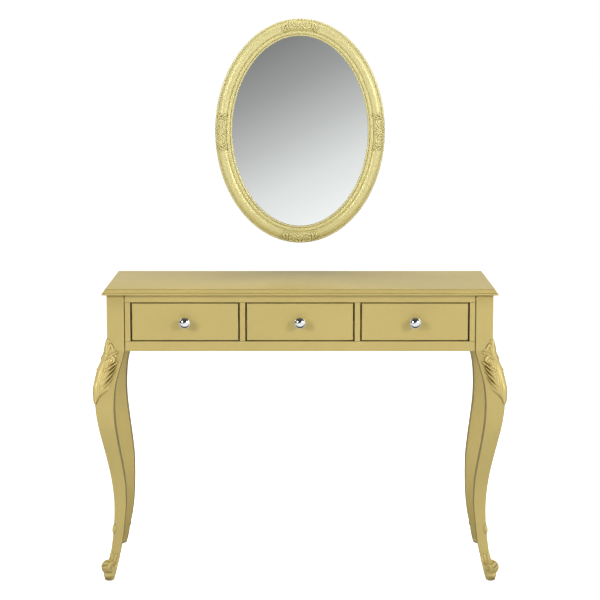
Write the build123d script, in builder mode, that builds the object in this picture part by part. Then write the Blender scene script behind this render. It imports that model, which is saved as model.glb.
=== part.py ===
"""Vanity table with three drawers on cabriole legs, and its oval wall mirror.

Millimetres, +Z up, +X to the right and +Y to the back. The origin is on the floor under the
middle of the whole set, which is the middle of the table.
"""
import os
from math import cos, radians, sin, sqrt

from build123d import *

os.makedirs("parts", exist_ok=True)

# ---- driving dimensions -------------------------------------------------------------------
# Table as a whole
table_height = 760.0
body_length = 984.0             # over the outsides of the leg blocks
body_depth = 376.0
top_overhang = 12.0
top_thickness = 16.0
apron_height = 145.0
panel_recess = 2.5              # rails and aprons stand this far behind the leg blocks' faces
board_thickness = 20.0
arris = 0.6                     # small chamfer on the face frame's front edges
drawer_arris = 1.2
shadow_groove = 2.0             # width of the groove where the face frame meets a leg block

# Legs
block_width = 44.0
block_edge_radius = 1.5
toe_radius = 18.0
toe_half_width = 13.0
toe_height = 35.0
toe_shift = 25.5                # of its centre along X and along Y from the block's centre
glide_height = 3.0
glide_radius = 9.0
glide_pin_radius = 1.5
glide_pin_length = 12.0

# Face frame
stile_width = 16.0
mullion_width = 14.0
top_rail_height = 19.5
opening_height = 100.0
dowel_radius = 3.0
dowel_length = 22.0
tenon_thickness = 10.0
tenon_height = 110.0
tenon_length = 20.0

# Drawers
side_gap = 4.0                  # between a drawer front and the stile or mullion beside it
end_gap = 2.5                   # above and below a drawer front
front_lap = 6.5                 # the front is this much wider than the box at each side
wall_thickness = 12.0
wall_height = 90.0
housing_depth = 8.0             # how far the box sides enter the front
groove_depth = 5.0
panel_thickness = 4.0
panel_rise = 9.0
running_gap = 0.5
guide_gap = 1.0
kicker_gap = 2.0
runner_thickness = 12.0
runner_bearing = 11.0           # how far a runner reaches under a drawer side
stop_thickness = 12.0
stop_width = 60.0
stop_height = 40.0
knob_radius = 14.0
knob_reach = 30.0
screw_radius = 2.0
screw_head_radius = 4.0

# Mirror
mirror_half_width = 230.5
mirror_half_height = 303.5
mirror_height = 1138.5          # of its centre above the floor
frame_band = 46.0
frame_thickness = 22.0
rebate_inset = 40.0             # from the frame's outer edge to the wall of its rebate
glass_inset = 41.0
glass_thickness = 3.0
lip_height = 9.5                # of the rebate's floor above the frame's back
backing_thickness = 5.0
bead_inset = 30.5
bead_width = 10.5
bead_seat = 15.0
ornament_length = 108.0
ornament_width = 25.0
ornament_inset = 16.5
ornament_seat = 13.0
ornament_height = 27.0
clip_count = 8
clip_length = 26.0
clip_width = 12.0
clip_thickness = 1.2
clip_screw_inset = 33.0         # from the frame's outer edge
hanger_spacing = 200.0
hanger_length = 38.0
hanger_height = 22.0
hanger_corner = 3.0
hanger_thickness = 1.5
hanger_screw_offset = 15.0      # from the plate's middle
hanger_screw_length = 11.0
keyhole_radius = 4.0

# ---- worked out from them -----------------------------------------------------------------
carcase_top = table_height - top_thickness
carcase_bottom = carcase_top - apron_height
leg_x = (body_length - block_width) / 2
leg_y = (body_depth - block_width) / 2
block_inner_x = leg_x - block_width / 2
block_inner_y = leg_y - block_width / 2
face_y = -body_depth / 2 + panel_recess
face_back_y = face_y + board_thickness
rear_face_y = -face_back_y
frame_span = 2 * (block_inner_x - stile_width)
opening_width = (frame_span - 2 * mullion_width) / 3
bay_pitch = opening_width + mullion_width
opening_top = carcase_top - top_rail_height
opening_bottom = opening_top - opening_height
front_width = opening_width - 2 * side_gap
front_height = opening_height - 2 * end_gap
box_width = front_width - 2 * front_lap
box_bottom = opening_bottom + running_gap
kicker_bottom = box_bottom + wall_height + kicker_gap
box_back_y = rear_face_y - stop_thickness - running_gap
knob_z = opening_bottom + opening_height / 2
guide_height = opening_height / 2
inner_guide_width = bay_pitch - box_width - 2 * guide_gap
inner_runner_width = inner_guide_width + 2 * (runner_bearing + guide_gap)
bay_edge = bay_pitch + box_width / 2 + guide_gap
outer_guide_width = block_inner_x - bay_edge
outer_runner_width = outer_guide_width + guide_gap + runner_bearing


def write(piece, label):
    """Label a finished piece and write it to its own STEP file."""
    piece.part.label = label
    export_step(piece.part, f"parts/{label}.step")


def board(x, y, z):
    """A plain rectangular board between pairs of limits along X, Y and Z."""
    with BuildPart() as plank:
        with BuildSketch(Plane.XY.offset(z[0])):
            with Locations(((x[0] + x[1]) / 2, (y[0] + y[1]) / 2)):
                Rectangle(x[1] - x[0], y[1] - y[0])
        extrude(amount=z[1] - z[0])
    return plank


# ---- table top: a board with the same moulding on its four edges ---------------------------
def moulded_section(plane, half_width):
    """The board's section: flat top, small step, hollow slope, second step, round lip below."""
    lip = half_width - 1.5
    slope_top = (half_width - 7.5, table_height - 1.5)
    slope_foot = (half_width - 3, carcase_top + 6)
    with BuildSketch(plane) as section:
        with BuildLine():
            Polyline((0, table_height), (half_width - 8.5, table_height),
                     (half_width - 8.5, slope_top[1]), slope_top)
            SagittaArc(slope_top, slope_foot, 0.8)
            Polyline(slope_foot, (slope_foot[0], carcase_top + 4.5), (lip, carcase_top + 4.5))
            ThreePointArc((lip, carcase_top + 4.5), (half_width, carcase_top + 2.25),
                          (lip, carcase_top))
            Line((lip, carcase_top), (0, carcase_top))
            mirror(about=Plane.YZ)
        make_face()
    return section.sketch


top_length = body_length + 2 * top_overhang
top_depth = body_depth + 2 * top_overhang
with BuildPart() as top_screws:
    for x in (-bay_edge - outer_guide_width / 2, -bay_pitch / 2, bay_pitch / 2,
              bay_edge + outer_guide_width / 2):
        for y in (-0.3 * body_depth, 0.3 * body_depth):
            with BuildSketch(Plane((x, y, kicker_bottom))):
                Circle(screw_radius)
            extrude(amount=carcase_top - kicker_bottom + 11)
            with Locations((x, y, kicker_bottom + 1.5)):
                Cone(screw_head_radius, screw_radius, 3)
write(top_screws, "top_screws")

with BuildPart() as table_top:
    extrude(moulded_section(Plane.XZ, top_length / 2), amount=top_depth / 2, both=True)
    extrude(moulded_section(Plane.YZ, top_depth / 2), amount=top_length / 2, both=True,
            mode=Mode.INTERSECT)
    add(top_screws.part, mode=Mode.SUBTRACT)
write(table_top, "table_top")

# ---- dowels that hold the face frame together and to the front legs ------------------------
dowel_y = face_y + board_thickness / 2
upright_middles = (block_inner_x - stile_width / 2, bay_pitch / 2)
with BuildPart() as frame_dowels:
    for side in (-1, 1):
        for z in (opening_top + top_rail_height / 2, carcase_bottom + 7, opening_bottom - 7):
            with BuildSketch(Plane(origin=(side * block_inner_x, dowel_y, z), z_dir=(1, 0, 0))):
                Circle(dowel_radius)
            extrude(amount=dowel_length / 2, both=True)
        for x in upright_middles:
            for z in (opening_top, opening_bottom):
                with BuildSketch(Plane((side * x, dowel_y, z))):
                    Circle(dowel_radius)
                extrude(amount=dowel_length / 2, both=True)
write(frame_dowels, "frame_dowels")


# ---- face frame ----------------------------------------------------------------------------
# A V-shaped groove runs down the face frame where it meets each leg block.
with BuildPart() as leg_grooves:
    with BuildSketch(Plane.XY.offset(carcase_bottom)):
        with BuildLine():
            Polyline((block_inner_x - shadow_groove, face_y), (block_inner_x, face_y),
                     (block_inner_x, face_y + 2 * shadow_groove), close=True)
        make_face()
        mirror(about=Plane.YZ)
    extrude(amount=apron_height)


def face_board(label, x, z):
    """One board of the face frame, drilled for its dowels."""
    with BuildPart() as plank:
        add(board(x, (face_y, face_back_y), z).part)
        chamfer(plank.faces().sort_by(Axis.Y)[0].edges(), arris)
        add(leg_grooves.part, mode=Mode.SUBTRACT)
        add(frame_dowels.part, mode=Mode.SUBTRACT)
    write(plank, label)


face_board("top_rail", (-block_inner_x, block_inner_x), (opening_top, carcase_top))
face_board("bottom_rail", (-block_inner_x, block_inner_x), (carcase_bottom, opening_bottom))
face_board("stile_left", (-block_inner_x, -frame_span / 2), (opening_bottom, opening_top))
face_board("stile_right", (frame_span / 2, block_inner_x), (opening_bottom, opening_top))
for name, middle in (("mullion_left", -bay_pitch / 2), ("mullion_right", bay_pitch / 2)):
    face_board(name, (middle - mullion_width / 2, middle + mullion_width / 2),
               (opening_bottom, opening_top))

# ---- side and back aprons, with a tenon at each end ----------------------------------------
apron_x = body_length / 2 - panel_recess - board_thickness / 2
apron_z = (carcase_bottom, carcase_top)
tenon_z = ((carcase_bottom + carcase_top - tenon_height) / 2,
           (carcase_bottom + carcase_top + tenon_height) / 2)
aprons = []
for name, side in (("side_apron_left", -1), ("side_apron_right", 1)):
    with BuildPart() as side_apron:
        add(board((side * apron_x - board_thickness / 2, side * apron_x + board_thickness / 2),
                  (-block_inner_y, block_inner_y), apron_z).part)
        add(board((side * apron_x - tenon_thickness / 2, side * apron_x + tenon_thickness / 2),
                  (-block_inner_y - tenon_length, block_inner_y + tenon_length), tenon_z).part)
    write(side_apron, name)
    aprons.append(side_apron)

tenon_y = rear_face_y + board_thickness / 2
with BuildPart() as back_apron:
    add(board((-block_inner_x, block_inner_x), (rear_face_y, rear_face_y + board_thickness),
              apron_z).part)
    add(board((-block_inner_x - tenon_length, block_inner_x + tenon_length),
              (tenon_y - tenon_thickness / 2, tenon_y + tenon_thickness / 2), tenon_z).part)
write(back_apron, "back_apron")
aprons.append(back_apron)

# ---- foot glides: a disc with a nail-like pin ----------------------------------------------
# The leg is a square section that sweeps out and back in along its corner's diagonal.
# Each station is a height, the section's shift along X and along Y, and its width.
leg_stations = [
    (carcase_bottom, 0.0, block_width),
    (560, 11.0, 45.0),
    (515, 23.5, 47.0),
    (465, 28.0, 47.0),
    (415, 24.5, 43.5),
    (360, 15.5, 39.0),
    (310, 6.3, 36.0),
    (255, -2.0, 34.0),
    (195, -5.0, 30.5),
    (140, -1.75, 27.5),
    (90, 4.0, 26.0),
    (45, 12.8, 23.5),
    (glide_height, 23.2, 21.5),
]
# The rear legs, plain at the knee, stand a little further out and taper lower down.
rear_leg_stations = [
    (carcase_bottom, 0.0, block_width),
    (560, 13.0, 45.0),
    (515, 26.0, 47.0),
    (465, 30.8, 47.0),
    (415, 28.8, 44.5),
    (360, 21.6, 43.0),
    (310, 14.0, 42.0),
    (255, 5.2, 38.0),
    (195, 0.5, 31.5),
    (140, 0.6, 28.0),
    (90, 5.8, 26.0),
    (45, 14.6, 24.0),
    (glide_height, 23.2, 21.5),
]
foot_shift = leg_stations[-1][1]
with BuildPart() as foot_glides:
    for x_side in (-1, 1):
        for y_side in (-1, 1):
            foot = (x_side * (leg_x + foot_shift), y_side * (leg_y + foot_shift))
            with BuildSketch(Plane((*foot, 0))):
                Circle(glide_radius)
            extrude(amount=glide_height)
            with BuildSketch(Plane((*foot, glide_height))):
                Circle(glide_pin_radius)
            extrude(amount=glide_pin_length)
write(foot_glides, "foot_glides")

# ---- legs ----------------------------------------------------------------------------------
# The leaf carving on a front knee stands proud of the leg's outer corner. Each station is a
# height, how far the leaf's corner is beyond the block's outer corner, and the leaf's width.
leaf_stations = [
    (646, 0.5, 10.0),
    (625, 6.5, 26.0),
    (590, 12.5, 36.0),
    (552, 24.5, 41.0),
    (526, 31.5, 41.0),
    (500, 35.5, 36.0),
    (480, 33.0, 22.0),
    (462, 29.0, 6.0),
]


def square_section(x_side, y_side, height, shift, width, radius):
    """A square section on one leg, its centre shifted along the leg's diagonal."""
    centre = (x_side * (leg_x + shift), y_side * (leg_y + shift), height)
    with BuildSketch(Plane(centre)) as section:
        RectangleRounded(width, width, radius)
    return section.sketch


def cabriole_leg(label, x_side, y_side, carved):
    """One leg: the apron block, the swept shaft, the scroll toe and the front knee's leaf."""
    with BuildPart() as leg:
        extrude(square_section(x_side, y_side, carcase_bottom, 0, block_width, block_edge_radius),
                amount=apron_height)
        loft([square_section(x_side, y_side, height, shift, width, block_edge_radius)
              for height, shift, width in (leg_stations if carved else rear_leg_stations)])
        toe = Plane(origin=(x_side * (leg_x + toe_shift), y_side * (leg_y + toe_shift), toe_height),
                    z_dir=(-y_side, x_side, 0))
        with BuildSketch(toe):
            Circle(toe_radius)
        extrude(amount=toe_half_width, both=True)
        if carved:
            loft([square_section(x_side, y_side, height, (block_width - width) / 2 + reach,
                                 width, 0.3 * width)
                  for height, reach, width in leaf_stations])
        for apron in aprons:
            add(apron.part, mode=Mode.SUBTRACT)
        add(frame_dowels.part, mode=Mode.SUBTRACT)
        add(foot_glides.part, mode=Mode.SUBTRACT)
    write(leg, label)
    return leg


leg_front_left = cabriole_leg("leg_front_left", -1, -1, carved=True)
cabriole_leg("leg_front_right", 1, -1, carved=True)
cabriole_leg("leg_rear_left", -1, 1, carved=False)
cabriole_leg("leg_rear_right", 1, 1, carved=False)

# ---- runners and guides under and beside the drawers, kickers over them ---------------------
inside_y = (face_back_y, rear_face_y)
kicker_z = (kicker_bottom, carcase_top)
lanes = {
    "left_outer": (-block_inner_x, -block_inner_x + outer_guide_width,
                   -block_inner_x, -block_inner_x + outer_runner_width),
    "left_inner": (-(bay_pitch + inner_guide_width) / 2, -(bay_pitch - inner_guide_width) / 2,
                   -(bay_pitch + inner_runner_width) / 2, -(bay_pitch - inner_runner_width) / 2),
    "right_inner": ((bay_pitch - inner_guide_width) / 2, (bay_pitch + inner_guide_width) / 2,
                    (bay_pitch - inner_runner_width) / 2, (bay_pitch + inner_runner_width) / 2),
    "right_outer": (block_inner_x - outer_guide_width, block_inner_x,
                    block_inner_x - outer_runner_width, block_inner_x),
}
with BuildPart() as drawer_kickers:
    for *_, runner_low, runner_high in lanes.values():
        add(board((runner_low, runner_high), inside_y, kicker_z).part)
    add(top_screws.part, mode=Mode.SUBTRACT)
write(drawer_kickers, "drawer_kickers")

for lane, (guide_low, guide_high, runner_low, runner_high) in lanes.items():
    write(board((runner_low, runner_high), inside_y,
                (opening_bottom - runner_thickness, opening_bottom)), f"runner_{lane}")
    write(board((guide_low, guide_high), inside_y,
                (opening_bottom, opening_bottom + guide_height)), f"guide_{lane}")

with BuildPart() as drawer_stops:
    for bay in (-bay_pitch, 0, bay_pitch):
        add(board((bay - stop_width / 2, bay + stop_width / 2),
                  (rear_face_y - stop_thickness, rear_face_y),
                  (knob_z - stop_height / 2, knob_z + stop_height / 2)).part)
write(drawer_stops, "drawer_stops")


# ---- drawers --------------------------------------------------------------------------------
def drawer(name, bay):
    """A drawer's seven pieces, centred on one bay."""
    box_x = (bay - box_width / 2, bay + box_width / 2)
    wall_z = (box_bottom, box_bottom + wall_height)
    side_y = (face_back_y - housing_depth, box_back_y)

    with BuildPart() as bottom:
        add(board((box_x[0] + wall_thickness - groove_depth, box_x[1] - wall_thickness + groove_depth),
                  (face_back_y - groove_depth, box_back_y - wall_thickness + groove_depth),
                  (box_bottom + panel_rise, box_bottom + panel_rise + panel_thickness)).part)
    write(bottom, f"{name}_bottom")

    sides = []
    for hand, x in (("left", (box_x[0], box_x[0] + wall_thickness)),
                    ("right", (box_x[1] - wall_thickness, box_x[1]))):
        with BuildPart() as side:
            add(board(x, side_y, wall_z).part)
            add(bottom.part, mode=Mode.SUBTRACT)
        write(side, f"{name}_side_{hand}")
        sides.append(side)

    with BuildPart() as back:
        add(board((box_x[0] + wall_thickness, box_x[1] - wall_thickness),
                  (box_back_y - wall_thickness, box_back_y), wall_z).part)
        add(bottom.part, mode=Mode.SUBTRACT)
    write(back, f"{name}_back")

    # The knob is a ball on a short neck, and its screw comes through the front from inside.
    knob_axis = Plane(origin=(bay, face_y, knob_z), x_dir=(1, 0, 0), z_dir=(0, -1, 0))
    with BuildPart() as knob_screw:
        with BuildSketch(knob_axis.offset(-board_thickness - 2.5)):
            Circle(screw_head_radius)
        extrude(amount=2.5)
        with BuildSketch(knob_axis.offset(-board_thickness)):
            Circle(screw_radius)
        extrude(amount=board_thickness + knob_reach / 2)
    write(knob_screw, f"{name}_knob_screw")

    with BuildPart() as knob:
        ball_centre = knob_reach - knob_radius
        with BuildSketch(Plane(origin=(bay, face_y, knob_z), x_dir=(1, 0, 0), z_dir=(0, 0, 1))):
            with BuildLine():
                Polyline((0, 0), (8, 0), (8, -1.5), (5.5, -2.5),
                         (5.5, -ball_centre + sqrt(knob_radius ** 2 - 5.5 ** 2)))
                ThreePointArc((5.5, -ball_centre + sqrt(knob_radius ** 2 - 5.5 ** 2)),
                              (knob_radius, -ball_centre), (0, -knob_reach))
                Line((0, -knob_reach), (0, 0))
            make_face()
        revolve(axis=Axis((bay, face_y, knob_z), (0, -1, 0)))
        add(knob_screw.part, mode=Mode.SUBTRACT)
    write(knob, f"{name}_knob")

    with BuildPart() as front:
        add(board((bay - front_width / 2, bay + front_width / 2), (face_y, face_back_y),
                  (opening_bottom + end_gap, opening_top - end_gap)).part)
        chamfer(front.faces().sort_by(Axis.Y)[0].edges(), drawer_arris)
        for neighbour in (*sides, bottom, knob_screw):
            add(neighbour.part, mode=Mode.SUBTRACT)
    write(front, f"{name}_front")


for name, bay in (("drawer_left", -bay_pitch), ("drawer_middle", 0.0), ("drawer_right", bay_pitch)):
    drawer(name, bay)

# ---- mirror: hangs with its back on a wall that just clears the rear legs -------------------
# The wall is as far behind the origin as the front knees' carving is in front of it.
wall_y = -leg_front_left.part.bounding_box().min.Y
back_plane = Plane(origin=(0, wall_y, mirror_height), x_dir=(1, 0, 0), z_dir=(0, -1, 0))


def rim_plane(angle, inset):
    """A plane on the frame's back at a distance in from its outer edge, x_dir pointing inwards."""
    turn = radians(angle)
    outward = (cos(turn) / mirror_half_width, sin(turn) / mirror_half_height)
    length = sqrt(outward[0] ** 2 + outward[1] ** 2)
    outward = (outward[0] / length, outward[1] / length)
    x = mirror_half_width * cos(turn) - inset * outward[0]
    z = mirror_half_height * sin(turn) - inset * outward[1]
    return Plane(origin=(x, wall_y, mirror_height + z), x_dir=(-outward[0], 0, -outward[1]),
                 z_dir=(0, -1, 0))


with BuildLine(back_plane) as rim_line:
    EllipticalCenterArc((0, 0), mirror_half_width, mirror_half_height, 45, arc_size=360)
rim_path = rim_line.line
rim_start = rim_path % 0
# In this plane x is the distance in from the outer edge and y the height above the wall.
profile_plane = Plane(origin=rim_path @ 0, x_dir=back_plane.z_dir.cross(rim_start), z_dir=rim_start)

with BuildPart() as mirror_glass:
    with BuildSketch(back_plane.offset(lip_height - glass_thickness)):
        Ellipse(mirror_half_width - glass_inset, mirror_half_height - glass_inset)
    extrude(amount=glass_thickness)
write(mirror_glass, "mirror_glass")

with BuildPart() as backing_board:
    with BuildSketch(back_plane.offset(lip_height - glass_thickness - backing_thickness)):
        Ellipse(mirror_half_width - glass_inset, mirror_half_height - glass_inset)
    extrude(amount=backing_thickness)
write(backing_board, "backing_board")

clip_angles = [360 / clip_count * (number + 0.5) for number in range(clip_count)]
clip_seat = lip_height - glass_thickness - backing_thickness
with BuildPart() as clip_screws:
    for angle in clip_angles:
        seat = rim_plane(angle, clip_screw_inset)
        with BuildSketch(seat.offset(clip_seat - clip_thickness)):
            Circle(1.5)
        extrude(amount=clip_thickness + 7)
write(clip_screws, "clip_screws")

with BuildPart() as retaining_clips:
    for angle in clip_angles:
        with BuildSketch(rim_plane(angle, rebate_inset).offset(clip_seat - clip_thickness)):
            SlotOverall(clip_length, clip_width)
        extrude(amount=clip_thickness)
    add(clip_screws.part, mode=Mode.SUBTRACT)
write(retaining_clips, "retaining_clips")

# Keyhole plates: a round hole for a wall screw's head, and a narrow slot above it.
band_middle = (mirror_half_width - frame_band / 2, mirror_half_height - frame_band / 2)
hanger_z = mirror_height + band_middle[1] * sqrt(1 - (hanger_spacing / 2 / band_middle[0]) ** 2)
hanger_planes = [Plane(origin=(x, wall_y, hanger_z), x_dir=(1, 0, 0), z_dir=(0, -1, 0))
                 for x in (hanger_spacing / 2, -hanger_spacing / 2)]
with BuildPart() as hanger_screws:
    for spot in hanger_planes:
        with BuildSketch(spot):
            with Locations((-hanger_screw_offset, 0), (hanger_screw_offset, 0)):
                Circle(1.5)
        extrude(amount=hanger_screw_length)
write(hanger_screws, "hanger_screws")

with BuildPart() as hanger_plates:
    for spot in hanger_planes:
        with BuildSketch(spot):
            RectangleRounded(hanger_length, hanger_height, hanger_corner)
            Circle(keyhole_radius, mode=Mode.SUBTRACT)
            with Locations((0, 4)):
                SlotOverall(12, 4, rotation=90, mode=Mode.SUBTRACT)
        extrude(amount=hanger_thickness)
    add(hanger_screws.part, mode=Mode.SUBTRACT)
write(hanger_plates, "hanger_plates")

with BuildPart() as bead_ring:
    with BuildSketch(profile_plane):
        with BuildLine():
            Line((bead_inset, bead_seat), (bead_inset + bead_width, bead_seat))
            ThreePointArc((bead_inset + bead_width, bead_seat),
                          (bead_inset + bead_width / 2, bead_seat + bead_width / 2),
                          (bead_inset, bead_seat))
        make_face()
    sweep(path=rim_path)
write(bead_ring, "bead_ring")

with BuildPart() as mirror_frame:
    groove_start = bead_inset - 1
    groove_end = bead_inset + bead_width + 0.5
    with BuildSketch(profile_plane):
        with BuildLine():
            Polyline((0, 0), (0, 11), (1.5, 12.5), (5.5, 13), (5.5, 15), (7.5, 15))
            ThreePointArc((7.5, 15), (18, frame_thickness), (groove_start, 20))
            Polyline((groove_start, 20), (groove_start, bead_seat), (groove_end, bead_seat),
                     (groove_end, 17), (groove_end + 1.5, 17), (frame_band, 13),
                     (frame_band, lip_height), (rebate_inset, lip_height), (rebate_inset, 0), (0, 0))
        make_face()
    sweep(path=rim_path)
    for angle in clip_angles:
        with BuildSketch(rim_plane(angle, rebate_inset)):
            SlotOverall(clip_length + 1, clip_width + 1)
        extrude(amount=clip_seat, mode=Mode.SUBTRACT)
    for spot in hanger_planes:
        with BuildSketch(spot):
            RectangleRounded(hanger_length, hanger_height, hanger_corner)
        extrude(amount=hanger_thickness, mode=Mode.SUBTRACT)
        with BuildSketch(spot.offset(hanger_thickness)):
            with Locations((0, 3)):
                SlotOverall(19, 12, rotation=90)
        extrude(amount=6, mode=Mode.SUBTRACT)
    add(clip_screws.part, mode=Mode.SUBTRACT)
    add(hanger_screws.part, mode=Mode.SUBTRACT)
write(mirror_frame, "mirror_frame")


# ---- applied ornaments at the mirror's four ends ---------------------------------------------
def ornament(label, angle, rim_radius):
    """A boss between two tapering leaves that bend along the frame, seated on its band."""
    arc_radius = rim_radius - ornament_inset
    tip = ornament_length / 2
    drop = arc_radius - sqrt(arc_radius ** 2 - tip ** 2)
    half_width = ornament_width / 2
    with BuildPart() as carving:
        with BuildSketch(rim_plane(angle, ornament_inset).offset(ornament_seat)):
            with BuildLine():
                ThreePointArc((drop, -tip), (-half_width * 0.6, 0), (drop, tip))
                ThreePointArc((drop, tip), (half_width * 0.6, 0), (drop, -tip))
            make_face()
        extrude(amount=ornament_height - ornament_seat - 2)
        with BuildSketch(rim_plane(angle, ornament_inset).offset(ornament_seat)):
            Circle(half_width)
        extrude(amount=ornament_height - ornament_seat)
        chamfer(carving.faces().sort_by(Axis.Y)[0].edges(), 1.5)
        add(mirror_frame.part, mode=Mode.SUBTRACT)
    write(carving, label)


end_radius = mirror_half_width ** 2 / mirror_half_height
side_radius = mirror_half_height ** 2 / mirror_half_width
ornament("ornament_top", 90, end_radius)
ornament("ornament_bottom", 270, end_radius)
ornament("ornament_left", 180, side_radius)
ornament("ornament_right", 0, side_radius)
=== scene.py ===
"""Looks of the vanity table and its oval wall mirror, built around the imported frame.

Everything is in metres, in the frame's axes: +X right, +Y to the wall, +Z up.
"""
import math

import bmesh
import bpy
import numpy as np
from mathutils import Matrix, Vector


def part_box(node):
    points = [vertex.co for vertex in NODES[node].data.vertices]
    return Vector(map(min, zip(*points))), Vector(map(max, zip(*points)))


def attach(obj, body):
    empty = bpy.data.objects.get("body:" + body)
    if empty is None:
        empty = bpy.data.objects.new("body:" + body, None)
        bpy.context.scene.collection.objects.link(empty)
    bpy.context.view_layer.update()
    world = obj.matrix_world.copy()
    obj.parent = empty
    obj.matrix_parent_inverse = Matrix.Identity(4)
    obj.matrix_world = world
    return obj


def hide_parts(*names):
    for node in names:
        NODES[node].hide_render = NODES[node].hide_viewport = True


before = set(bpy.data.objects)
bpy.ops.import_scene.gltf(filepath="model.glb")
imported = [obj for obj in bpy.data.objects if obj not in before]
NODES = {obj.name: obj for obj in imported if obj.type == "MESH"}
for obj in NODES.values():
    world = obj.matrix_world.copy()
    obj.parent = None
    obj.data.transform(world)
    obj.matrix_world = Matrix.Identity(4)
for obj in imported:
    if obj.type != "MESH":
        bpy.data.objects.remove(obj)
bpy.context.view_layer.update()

MM = 0.001
DRAWERS = ("drawer_left", "drawer_middle", "drawer_right")

# The case under the top, in mm: its outer faces, its ends in height and its legs' square blocks.
CASE_HALF_WIDTH = 492.0
CASE_HALF_DEPTH = 188.0
CASE_BOTTOM = 599.0
CASE_TOP = 744.0
LEG_BLOCK = 44.0


# ---- small node helpers ---------------------------------------------------------------------
class Shader:
    """A material's node tree, with one-line helpers for the nodes used here."""

    def __init__(self, name, roughness, metallic=0.0):
        self.material = bpy.data.materials.new(name)
        self.material.use_nodes = True
        self.nodes = self.material.node_tree.nodes
        self.links = self.material.node_tree.links
        self.surface = self.nodes["Principled BSDF"]
        self.surface.inputs["Roughness"].default_value = roughness
        self.surface.inputs["Metallic"].default_value = metallic
        self.coords = self.nodes.new("ShaderNodeTexCoord").outputs["Object"]

    def link(self, output, target):
        self.links.new(output, target)

    def noise(self, scale, detail=2.0, stretch=None, distortion=0.0):
        """Fractal noise in the object's own metres, optionally squeezed along an axis."""
        node = self.nodes.new("ShaderNodeTexNoise")
        node.inputs["Scale"].default_value = scale
        node.inputs["Detail"].default_value = detail
        node.inputs["Distortion"].default_value = distortion
        coords = self.coords
        if stretch:
            mapping = self.nodes.new("ShaderNodeMapping")
            mapping.inputs["Scale"].default_value = stretch
            self.link(coords, mapping.inputs["Vector"])
            coords = mapping.outputs["Vector"]
        self.link(coords, node.inputs["Vector"])
        return node.outputs["Fac"]

    def ramp(self, factor, stops):
        """A colour ramp over (position, colour) stops."""
        node = self.nodes.new("ShaderNodeValToRGB")
        elements = node.color_ramp.elements
        while len(elements) < len(stops):
            elements.new(0.5)
        for element, (position, colour) in zip(elements, stops):
            element.position = position
            element.color = (*colour, 1)
        self.link(factor, node.inputs["Fac"])
        return node.outputs["Color"]

    def span(self, factor, low, high):
        """Maps 0..1 onto low..high."""
        node = self.nodes.new("ShaderNodeMapRange")
        node.inputs["To Min"].default_value = low
        node.inputs["To Max"].default_value = high
        self.link(factor, node.inputs["Value"])
        return node.outputs["Result"]

    def mix(self, factor, first, second, blend="MIX"):
        """Mixes two colour outputs by a number or an output."""
        node = self.nodes.new("ShaderNodeMix")
        node.data_type = "RGBA"
        node.blend_type = blend
        if isinstance(factor, float):
            node.inputs["Factor"].default_value = factor
        else:
            self.link(factor, node.inputs["Factor"])
        self.link(first, node.inputs["A"])
        self.link(second, node.inputs["B"])
        return node.outputs["Result"]

    def bump(self, height, strength, distance):
        node = self.nodes.new("ShaderNodeBump")
        node.inputs["Strength"].default_value = strength
        node.inputs["Distance"].default_value = distance
        self.link(height, node.inputs["Height"])
        self.link(node.outputs["Normal"], self.surface.inputs["Normal"])

    def attribute(self, name):
        node = self.nodes.new("ShaderNodeAttribute")
        node.attribute_name = name
        return node.outputs["Fac"]


def scaled(colour, factor):
    return tuple(channel * factor for channel in colour)


# ---- materials ------------------------------------------------------------------------------
def satin_paint(name, colour, carved=0.0, shaded_side=None, tooth=0.10, gloss=(0.34, 0.46)):
    """Satin metallic paint: cloudy sprayed colour, fine flake, faint brush and dust relief.

    A carved piece gets painted shade in its cuts and a painted highlight on its crests, by its
    carved share. Faces turned towards the given side get near-black brown: painted shade, darker
    than the bare fibreboard it stands for. Tooth is the relief of the sprayed coat, and gloss the range of
    its roughness.
    """
    paint = Shader(name, roughness=0.4, metallic=0.35)
    clouds = paint.noise(5.0, 3.0)
    base = paint.ramp(clouds, [(0.3, scaled(colour, 0.96)), (0.7, scaled(colour, 1.04))])
    flake = paint.noise(1500.0, 1.0)
    sparkle = paint.ramp(flake, [(0.4, (0.95, 0.95, 0.95)), (0.68, (1.07, 1.07, 1.05))])
    base = paint.mix(1.0, base, sparkle, "MULTIPLY")
    # Carved pieces: painted shade in the cuts and a painted highlight on the crests, read from the mesh's
    # relief attribute.
    if carved:
        painted_relief_light = paint.ramp(paint.attribute("relief_shading"),
                           [(0.10, (0.30, 0.23, 0.12)), (0.5, (1.0, 1.0, 1.0)),
                            (0.9, (1.36, 1.38, 1.52))])
        base = paint.mix(carved, base, painted_relief_light, "MULTIPLY")
    # Faces turned towards the given side: near-black brown painted shade, darker than the bare fibreboard it
    # stands for.
    if shaded_side:
        facing = paint.nodes.new("ShaderNodeVectorMath")
        facing.operation = "DOT_PRODUCT"
        facing.inputs[1].default_value = shaded_side
        paint.link(paint.nodes.new("ShaderNodeTexCoord").outputs["Normal"], facing.inputs[0])
        shaded_faces = paint.ramp(facing.outputs["Value"], [(0.7, (0, 0, 0)), (0.75, (1, 1, 1))])
        # The fibre grain is a texture; its near-black colour is painted shade.
        fibres = paint.ramp(paint.noise(700.0, 3.0),
                            [(0.3, (0.05, 0.03, 0.015)), (0.7, (0.09, 0.055, 0.03))])
        base = paint.mix(shaded_faces, base, fibres)
    paint.link(base, paint.surface.inputs["Base Color"])
    paint.link(paint.span(paint.noise(60.0, 4.0), *gloss), paint.surface.inputs["Roughness"])
    paint.surface.inputs["Coat Weight"].default_value = 0.15
    paint.surface.inputs["Coat Roughness"].default_value = 0.25
    paint.bump(paint.noise(900.0, 3.0), tooth, 0.0002)
    return paint.material


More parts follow.
